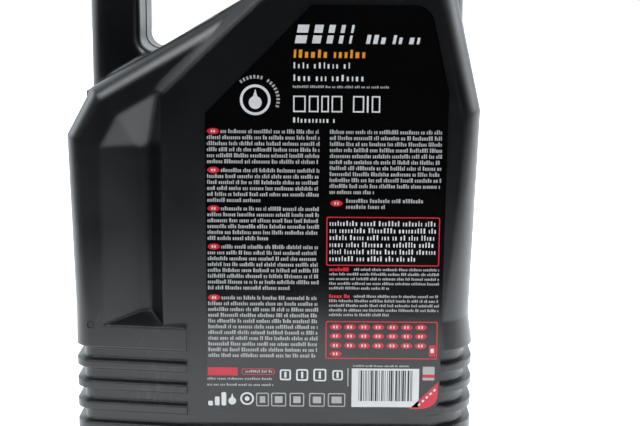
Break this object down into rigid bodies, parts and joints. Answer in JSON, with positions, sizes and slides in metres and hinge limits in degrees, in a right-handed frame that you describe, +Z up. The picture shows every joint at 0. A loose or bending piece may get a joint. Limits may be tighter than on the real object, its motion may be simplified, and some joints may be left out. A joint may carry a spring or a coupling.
{
  "type": "motor oil bottle",
  "caption": "Blow-moulded side-handle bottle for five litres of oil, with a ribbed foot, sunk label panels and a screw cap that unscrews off its neck.",
  "frame": {"origin": "under the middle of the bottle, on the surface that it stands on", "axes": "+Z up through the bottle, -Y out of the face with the peel label, -X towards the handle and +X towards the neck"},
  "size_m": [0.1896, 0.142, 0.3016],
  "materials": {
    "black_hdpe": "blue-black polyethylene with a fine eggshell mould texture",
    "cap_plastic": "satin black polyethylene",
    "wad_foam": "white foamed polyethylene",
    "label_film": "printed black film, slightly glossy",
    "oil": "clear amber liquid"
  },
  "bodies": {
    "bottle_body": {"bottle": "black_hdpe", "oil_fill": "oil", "tamper_band": "cap_plastic", "label_base": "label_film", "peel_label": "label_film", "front_label": "label_film"},
    "wad_carrier": {"sealing_wad": "wad_foam"},
    "cap": {"screw_cap": "cap_plastic"}
  },
  "joints": [
    {"name": "cap_lift", "type": "slide", "parent": "bottle_body", "child": "wad_carrier", "axis": [0, 0, 1], "range_m": [0, 0.0271]},
    {"name": "cap_turn", "type": "hinge", "parent": "wad_carrier", "child": "cap", "pos_m": [0.066, 0, 0.29], "axis": [0, 0, 1], "range_deg": [0, 1620]}
  ],
  "couplings": [
    {"joint": "cap_lift", "follows": "cap_turn", "m_per_rad": 0.00095493}
  ]
}
